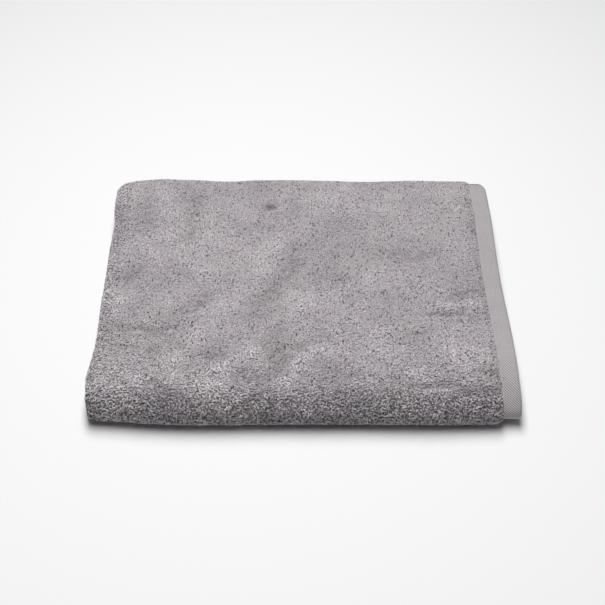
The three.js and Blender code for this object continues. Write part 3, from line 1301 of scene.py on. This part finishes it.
@dataclass(frozen=True)
class TwillRibs:
    """The raised ribs of the flat woven hem, which run slantwise over its top, front fold and underside."""

    cover: Cover
    pitch: float = RIB_PITCH
    slant: float = RIB_SLANT
    half_width: float = 0.64 * MM
    height: float = 0.75 * MM
    closed_width: float = 0.28 * MM
    flat_share: float = 0.5
    opens: tuple[float, float] = (-45 * MM, 5 * MM)
    steps: int = 11
    sides: int = 4
    first: float = 0.3 * MM
    last: float = 20.2 * MM
    edge: float = 1.5 * MM
    shortest: float = 0.05
    taper_rate: float = 12
    taper_least: float = 0.35

    def template(self) -> tuple[np.ndarray, np.ndarray]:
        """Sweeps a small ring along a straight line and closes both ends.

        Returns:
            The rib's vertices, with the way along it from 0 to 1 in z, and its triangles.
        """
        rib = bmesh.new()
        bmesh.ops.create_circle(rib, cap_ends=False, segments=self.sides, radius=1.0)
        bmesh.ops.spin(
            rib, geom=rib.edges[:], cent=(0, 0, 0), axis=(0, 0, 1), dvec=(0, 0, 1 / self.steps), angle=0.0,
            steps=self.steps,
        )
        bmesh.ops.holes_fill(rib, edges=rib.edges[:], sides=self.sides)
        bmesh.ops.triangulate(rib, faces=rib.faces[:])
        bmesh.ops.recalc_face_normals(rib, faces=rib.faces[:])
        places = np.array([vertex.co for vertex in rib.verts])
        triangles = np.array([[vertex.index for vertex in face.verts] for face in rib.faces])
        rib.free()
        return places, triangles

    def build(self, finish: bpy.types.Material) -> bpy.types.Object:
        """Lays the ribs on the outer hem as one joined mesh.

        Args:
            finish: Their material.

        Returns:
            The piece.
        """
        fold = self.cover.fold
        shape, triangles = self.template()
        reach = (self.last - self.first) * math.tan(self.slant)
        apart = self.pitch / math.cos(self.slant)
        begins = np.arange(self.edge - reach, fold.round_length - self.edge, apart)
        low = np.clip((self.edge - begins) / reach, 0.0, 1.0)
        high = np.clip((fold.round_length - self.edge - begins) / reach, 0.0, 1.0)
        long_enough = high - low > self.shortest
        begins, low, high = begins[long_enough], low[long_enough], high[long_enough]
        way = low[:, None] + (high - low)[:, None] * shape[None, :, 2]
        to_end = np.minimum(way - low[:, None], high[:, None] - way)
        taper = np.clip(to_end * self.taper_rate, self.taper_least, 1.0)
        open_ = ease(self.opens[0], self.opens[1], begins[:, None] + way * reach - fold.flat_depth)
        across = shape[None, :, 0] * (self.half_width + self.closed_width * (1.0 - open_)) * taper
        along = self.last - way * (self.last - self.first) + across * math.sin(self.slant)
        round_ = begins[:, None] + way * reach + across * math.cos(self.slant)
        along, round_ = along.ravel(), round_.ravel()
        high_share = self.flat_share + (1.0 - self.flat_share) * open_
        rise = (shape[None, :, 1] * self.height * high_share * taper).ravel()
        places = fold.place(along, round_, self.cover.outer(along, round_) + rise)
        places[:, 2] = np.maximum(places[:, 2], 0.0)
        count = len(begins)
        every = (triangles[None] + (np.arange(count) * len(shape))[:, None, None]).reshape(-1, 3)
        rows = np.repeat(np.arange(count), len(triangles) * 3)
        corner = every.ravel()
        margin, lift, spread = 0.02, 0.01, 0.4
        side, up, way_along = (np.tile(shape[triangles.ravel(), i], count) for i in range(3))
        u = margin + (1.0 - 2 * margin) * way_along + lift * up
        v = (rows + 0.5 + spread * side) / count
        weave = np.stack([along[corner], round_[corner]], axis=-1)
        arrays = MeshArrays(places, every, {"Weave": weave, "OFBake": np.stack([u, v], axis=-1)})
        return piece_of("hem_ribs", joined_mesh("hem_ribs", arrays), finish)


Number = "Signal | float"


@dataclass(frozen=True)
class Signal:
    """A number that a shader works out. It takes part in Python expressions."""

    shader: "Shader"
    socket: bpy.types.NodeSocket

    def __add__(self, other: Number) -> "Signal":
        """The sum."""
        return self.shader.maths("ADD", self, other)

    def __sub__(self, other: Number) -> "Signal":
        """The difference."""
        return self.shader.maths("SUBTRACT", self, other)

    def __rsub__(self, other: Number) -> "Signal":
        """The difference, the other way."""
        return self.shader.maths("SUBTRACT", other, self)

    def __mul__(self, other: Number) -> "Signal":
        """The product."""
        return self.shader.maths("MULTIPLY", self, other)

    def __truediv__(self, other: Number) -> "Signal":
        """The quotient."""
        return self.shader.maths("DIVIDE", self, other)

    __radd__ = __add__
    __rmul__ = __mul__

    def rise(self, low: float, high: float) -> "Signal":
        """Rises smoothly from 0 to 1, or falls if low is the greater.

        Args:
            low: Where it is 0.
            high: Where it is 1.

        Returns:
            The share.
        """
        node = self.shader.node("ShaderNodeMapRange", {"interpolation_type": "SMOOTHSTEP"}, {
            "Value": self, "From Min": low, "From Max": high, "To Min": 0.0, "To Max": 1.0,
        })
        return Signal(self.shader, node.outputs["Result"])


class Shader:
    """The nodes of one finish."""

    sheen_roughness: float = 0.6
    specular: float = 0.15

    def __init__(self, name: str) -> None:
        """Starts a material with no nodes."""
        self.material = bpy.data.materials.new(name)
        self.material.use_nodes = True
        self.tree = self.material.node_tree
        self.tree.nodes.clear()

    def set(self, socket: bpy.types.NodeSocket, value: object) -> None:
        """Links or sets one input socket."""
        if isinstance(value, Signal):
            value = value.socket
        if isinstance(value, bpy.types.NodeSocket):
            self.tree.links.new(value, socket)
        else:
            socket.default_value = value

    def node(
        self, kind: str, settings: dict[str, object], sockets: dict[str | int, object],
    ) -> bpy.types.Node:
        """Adds a node.

        Args:
            kind: Its type.
            settings: Its properties, which are set first.
            sockets: What its inputs get, by name or number.

        Returns:
            The node.
        """
        node = self.tree.nodes.new(kind)
        for name, value in settings.items():
            setattr(node, name, value)
        for name, value in sockets.items():
            self.set(node.inputs[name], value)
        return node

    def maths(self, operation: str, *values: Number) -> Signal:
        """Works out one step of arithmetic.

        Args:
            operation: What is done.
            values: The numbers that it is done to.

        Returns:
            The outcome.
        """
        node = self.node("ShaderNodeMath", {"operation": operation}, dict(enumerate(values)))
        return Signal(self, node.outputs[0])

    def mix(self, low: object, high: object, share: Number, blend: str = "MIX") -> bpy.types.NodeSocket:
        """Mixes two colours.

        Args:
            low: The colour at share 0.
            high: The colour at share 1.
            share: The share.
            blend: How the second is laid on the first.

        Returns:
            The mixed colour.
        """
        settings = {"data_type": "RGBA", "blend_type": blend}
        return self.node("ShaderNodeMix", settings, {0: share, 6: low, 7: high}).outputs[2]

    def shaded(self, colour: bpy.types.NodeSocket, shade: Signal) -> bpy.types.NodeSocket:
        """Multiplies a colour by a shade.

        Args:
            colour: The colour.
            shade: The shade, with 1 for no change.

        Returns:
            The shaded colour.
        """
        grey = self.node("ShaderNodeCombineXYZ", {}, {0: shade, 1: shade, 2: shade}).outputs[0]
        return self.mix(colour, grey, 1.0, "MULTIPLY")

    def bump(self, height: Signal, strength: float, distance: float) -> bpy.types.NodeSocket:
        """Bumps the surface.

        Args:
            height: The height, as a share of the distance.
            strength: How much of it is seen.
            distance: What a height of 1 stands for, in metres.

        Returns:
            The bumped normal.
        """
        sockets = {"Strength": strength, "Distance": distance, "Height": height}
        return self.node("ShaderNodeBump", {}, sockets).outputs[0]

    def object_place(self) -> bpy.types.NodeSocket:
        """The place in the object's own metres."""
        return self.node("ShaderNodeTexCoord", {}, {}).outputs["Object"]

    def map_place(self, name: str) -> tuple[bpy.types.NodeSocket, Signal, Signal]:
        """The place on one of the piece's own maps.

        Args:
            name: The map's name.

        Returns:
            The place as a vector, and its two numbers.
        """
        place = self.node("ShaderNodeUVMap", {"uv_map": name}, {}).outputs["UV"]
        parts = self.node("ShaderNodeSeparateXYZ", {}, {0: place})
        return place, Signal(self, parts.outputs["X"]), Signal(self, parts.outputs["Y"])

    def noise(self, place: bpy.types.NodeSocket, scale: float, detail: float = 2.0) -> Signal:
        """Noise from 0 to 1.

        Args:
            place: Where it is read.
            scale: Its repeats a metre.
            detail: How many finer layers it has.

        Returns:
            The noise.
        """
        node = self.node("ShaderNodeTexNoise", {}, {"Vector": place, "Scale": scale, "Detail": detail})
        return Signal(self, node.outputs[0])

    def surface(
        self, colour: bpy.types.NodeSocket, roughness: float, sheen: float, normal: bpy.types.NodeSocket,
    ) -> bpy.types.Material:
        """Ends the finish with a cloth surface.

        Args:
            colour: Its colour.
            roughness: Its roughness.
            sheen: The weight of the soft sheen of its fibres.
            normal: Its bumped normal.

        Returns:
            The material.
        """
        shader = self.node("ShaderNodeBsdfPrincipled", {}, {
            "Base Color": colour,
            "Roughness": roughness,
            "Sheen Weight": sheen,
            "Sheen Roughness": self.sheen_roughness,
            "Specular IOR Level": self.specular,
            "Normal": normal,
        })
        self.node("ShaderNodeOutputMaterial", {}, {"Surface": shader.outputs["BSDF"]})
        return self.material


@dataclass(frozen=True)
class Dye:
    """The grey of the yarn, which wanders between a warm and a cooler shade."""

    warm: tuple[float, float, float, float] = (0.586, 0.548, 0.564, 1.0)
    cool: tuple[float, float, float, float] = (0.535, 0.496, 0.526, 1.0)
    stain: tuple[float, float, float, float] = (0.30, 0.22, 0.21, 1.0)
    stain_x: float = -37 * MM
    stain_y: float = 136 * MM
    stain_size: float = 6 * MM
    stain_share: float = 0.95
    stain_stretch: float = 1.3
    stain_blur: float = 1.8
    broad_scale: float = 16.0
    broad_share: float = 0.6
    small_scale: float = 55.0
    small_share: float = 0.4
    wander: tuple[float, float] = (0.36, 0.62)

    def colour(self, shader: Shader) -> bpy.types.NodeSocket:
        """Works out the dyed colour, with the small mark near the back.

        Args:
            shader: The finish that it is for.

        Returns:
            The colour at each place.
        """
        place = shader.object_place()
        broad = shader.noise(place, self.broad_scale) * self.broad_share
        patches = broad + shader.noise(place, self.small_scale) * self.small_share
        dyed = shader.mix(self.warm, self.cool, patches.rise(*self.wander))
        parts = shader.node("ShaderNodeSeparateXYZ", {}, {0: place})
        off_x = (Signal(shader, parts.outputs["X"]) - self.stain_x) / self.stain_size
        off_y = (Signal(shader, parts.outputs["Y"]) - self.stain_y) / (self.stain_size * self.stain_stretch)
        near = (off_x * off_x + off_y * off_y).rise(self.stain_blur, 0.0)
        return shader.mix(dyed, self.stain, near * self.stain_share)


@dataclass(frozen=True)
class LoopFinish:
    """The finish of the loops: each has its own tone with painted light and shade, and painted shade darkens
    them towards the ground and in small specks.
    """

    dye: Dye = Dye()
    dark: float = 0.6
    light: float = 1.25
    # Painted shade: how dark the loops are coloured at their feet.
    root: float = 0.28
    # Painted shade: small dark specks standing for the shaded gaps between tufts.
    gap_shade: float = 0.85
    gap_shade_scale: float = 500.0
    gap_shade_drawn: tuple[float, float, float] = (1.0, 0.5, 1.0)
    gap_shade_range: tuple[float, float] = (0.60, 0.66)
    fleck: float = 1.0
    fleck_scale: float = 1100.0
    root_shade_range: tuple[float, float] = (-0.1, 0.8)
    fibre_scale: float = 1600.0
    fibre_strength: float = 0.35
    fibre_height: float = 0.3 * MM
    roughness: float = 0.95
    sheen: float = 0.25

    def make(self) -> bpy.types.Material:
        """Makes the material."""
        shader = Shader("terry_loops")
        _, value, share = shader.map_place("Strand")
        strand = value * (self.light - self.dark) + self.dark
        # Painted shade, darkening each loop towards its foot.
        shade = strand * (share.rise(*self.root_shade_range) * (1 - self.root) + self.root)
        place = shader.object_place()
        # Painted shade of the gaps between tufts, as sparse dark specks.
        stretched = {0: place, 1: self.gap_shade_drawn}
        drawn = shader.node("ShaderNodeVectorMath", {"operation": "MULTIPLY"}, stretched)
        gap_shade_specks = shader.noise(drawn.outputs[0], self.gap_shade_scale, 1.0).rise(*self.gap_shade_range)
        flecks = (shader.noise(place, self.fleck_scale, 1.0) - 0.5) * (2 * self.fleck)
        shade = shade * (1.0 - gap_shade_specks * self.gap_shade) * (flecks + 1.0)
        colour = shader.shaded(self.dye.colour(shader), shade)
        normal = shader.bump(shader.noise(place, self.fibre_scale), self.fibre_strength, self.fibre_height)
        return shader.surface(colour, self.roughness, self.sheen, normal)


@dataclass(frozen=True)
class SheetFinish:
    """The finish of the sheet: a looped ground with painted shade, darkest between its loops, and twill on
    its flat hems, with painted shade between the ribs.
    """

    dye: Dye = Dye()
    # Painted shade: the ground under the loops is coloured darker than the yarn.
    ground: float = 0.85
    # Painted shade: the hem's ground between the ribs is coloured dark.
    hem: float = 0.42
    hem_end: float = 18.5 * MM
    hem_blend: float = 1.5 * MM
    rim: float = 0.9
    rim_range: tuple[float, float] = (1.0 * MM, 0.4 * MM)
    pitch: float = RIB_PITCH
    slant: float = RIB_SLANT
    cell_scale: float = 520.0
    cell_share: float = 0.35
    rib_share: float = 0.08
    rib_base: float = 0.9
    cell_height: float = 1.2 * MM
    rib_height: float = 0.2 * MM
    bump_strength: float = 0.8
    roughness: float = 0.95
    sheen: float = 0.2

    def make(self) -> bpy.types.Material:
        """Makes the material."""
        shader = Shader("terry_ground")
        place, along, round_ = shader.map_place("Weave")
        first = along.rise(self.hem_end + self.hem_blend, self.hem_end - self.hem_blend)
        begin = CLOTH_LENGTH - self.hem_end
        other = along.rise(begin - self.hem_blend, begin + self.hem_blend)
        hem = shader.maths("MAXIMUM", first, other)
        rim = along.rise(*self.rim_range)
        # Painted shade: the ground darkens towards the edges of its cells, between the loops that it mimics.
        cells = shader.node("ShaderNodeTexVoronoi", {}, {"Vector": place, "Scale": self.cell_scale})
        loops = 1.0 - Signal(shader, cells.outputs["Distance"])
        across = (along * math.sin(self.slant) + round_ * math.cos(self.slant)) / self.pitch
        ribs = shader.maths("SINE", across * (2 * math.pi)) * 0.5 + 0.5
        shaded_ground = (loops * self.cell_share + (1.0 - self.cell_share)) * self.ground * (1.0 - hem)
        # Painted shade between the hem's ribs.
        shaded_hem = (ribs * self.rib_share + self.rib_base) * self.hem * hem
        shade = shaded_ground + shaded_hem + rim * (self.rim - self.hem)
        colour = shader.shaded(self.dye.colour(shader), shade)
        height = loops * self.cell_height * (1.0 - hem) + ribs * self.rib_height * hem
        normal = shader.bump(height, self.bump_strength, 1.0)
        return shader.surface(colour, self.roughness, self.sheen, normal)


@dataclass(frozen=True)
class RibFinish:
    """The finish of the hem's ribs: smooth yarn with a little fuzz."""

    dye: Dye = Dye(warm=(0.560, 0.531, 0.539, 1.0), cool=(0.525, 0.496, 0.508, 1.0))
    fuzz_scale: float = 900.0
    fuzz_detail: float = 3.0
    fuzz_share: float = 0.2
    fuzz_base: float = 0.9
    fuzz_strength: float = 0.5
    fuzz_height: float = 0.3 * MM
    roughness: float = 0.9
    sheen: float = 0.2

    def make(self) -> bpy.types.Material:
        """Makes the material."""
        shader = Shader("hem_twill")
        place = shader.map_place("Weave")[0]
        fuzz = shader.noise(place, self.fuzz_scale, self.fuzz_detail)
        colour = shader.shaded(self.dye.colour(shader), fuzz * self.fuzz_share + self.fuzz_base)
        normal = shader.bump(fuzz, self.fuzz_strength, self.fuzz_height)
        return shader.surface(colour, self.roughness, self.sheen, normal)


@dataclass(frozen=True)
class Studio:
    """The pale floor, the soft light and the camera."""

    floor_side: float = 6.0
    floor_colour: tuple[float, float, float, float] = (0.81, 0.81, 0.81, 1.0)
    world_strength: float = 0.12
    light_size: tuple[float, float] = (0.7, 2.4)
    light_power: float = 51.0
    light_place: tuple[float, float, float] = (-0.08, 0.10, 2.0)
    pitch: float = math.radians(40.779)
    focal_length: float = 79.13
    sensor: float = 36.0
    clips: tuple[float, float] = (0.05, 20.0)
    distance: float = 1.518987
    target: tuple[float, float, float] = (1.65 * MM, -19.065 * MM, 24.0 * MM)

    def lay_floor(self) -> None:
        """Lays the floor."""
        shader = Shader("floor")
        surface = shader.node("ShaderNodeBsdfDiffuse", {}, {"Color": self.floor_colour})
        shader.node("ShaderNodeOutputMaterial", {}, {"Surface": surface.outputs[0]})
        flat = bmesh.new()
        bmesh.ops.create_grid(flat, x_segments=1, y_segments=1, size=self.floor_side / 2)
        mesh = bpy.data.meshes.new("floor")
        flat.to_mesh(mesh)
        flat.free()
        mesh.materials.append(shader.material)
        floor = bpy.data.objects.new("floor", mesh)
        bpy.context.scene.collection.objects.link(floor)

    def light(self) -> None:
        """Lights the towel with a long soft lamp high above it, and a faint even glow."""
        world = bpy.data.worlds.new("studio")
        world.use_nodes = True
        backdrop = world.node_tree.nodes["Background"]
        backdrop.inputs["Color"].default_value = (1.0, 1.0, 1.0, 1.0)
        backdrop.inputs["Strength"].default_value = self.world_strength
        bpy.context.scene.world = world
        lamp = bpy.data.lights.new("softbox", "AREA")
        lamp.shape = "ELLIPSE"
        lamp.size, lamp.size_y = self.light_size
        lamp.energy = self.light_power
        holder = bpy.data.objects.new("softbox", lamp)
        holder.location = self.light_place
        bpy.context.scene.collection.objects.link(holder)

    def point_camera(self) -> None:
        """Sets the camera at the photograph's place and angle."""
        lens = bpy.data.cameras.new("camera")
        lens.sensor_width = self.sensor
        lens.lens = self.focal_length
        lens.clip_start, lens.clip_end = self.clips
        camera = bpy.data.objects.new("camera", lens)
        look = Vector((0.0, math.cos(self.pitch), -math.sin(self.pitch)))
        camera.location = Vector(self.target) - look * self.distance
        camera.rotation_euler = (math.pi / 2 - self.pitch, 0.0, 0.0)
        bpy.context.scene.collection.objects.link(camera)
        bpy.context.scene.camera = camera

    def set_up(self) -> None:
        """Sets up all of it, with plain colours in the picture."""
        self.lay_floor()
        self.light()
        self.point_camera()
        bpy.context.scene.view_settings.view_transform = "Standard"


@dataclass(frozen=True)
class Towel:
    """The whole towel: the sheet, its pile and the ribs of its hem."""

    cover: Cover
    flat_size: tuple[float, float] = (CLOTH_WIDTH, CLOTH_LENGTH)

    def build(self) -> None:
        """Builds the pieces."""
        sheet = ClothSheet(self.cover).build(SheetFinish().make())
        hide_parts(CLOTH_NODE)
        pile = Pile(self.cover).build(LoopFinish().make())
        ribs = TwillRibs(self.cover).build(RibFinish().make())


def main() -> None:
    """Builds the towel and its studio."""
    logging.basicConfig(level=logging.INFO, format="%(name)s: %(message)s")
    Towel(Cover(Fold())).build()
    Studio().set_up()


if __name__ == "__main__":
    main()
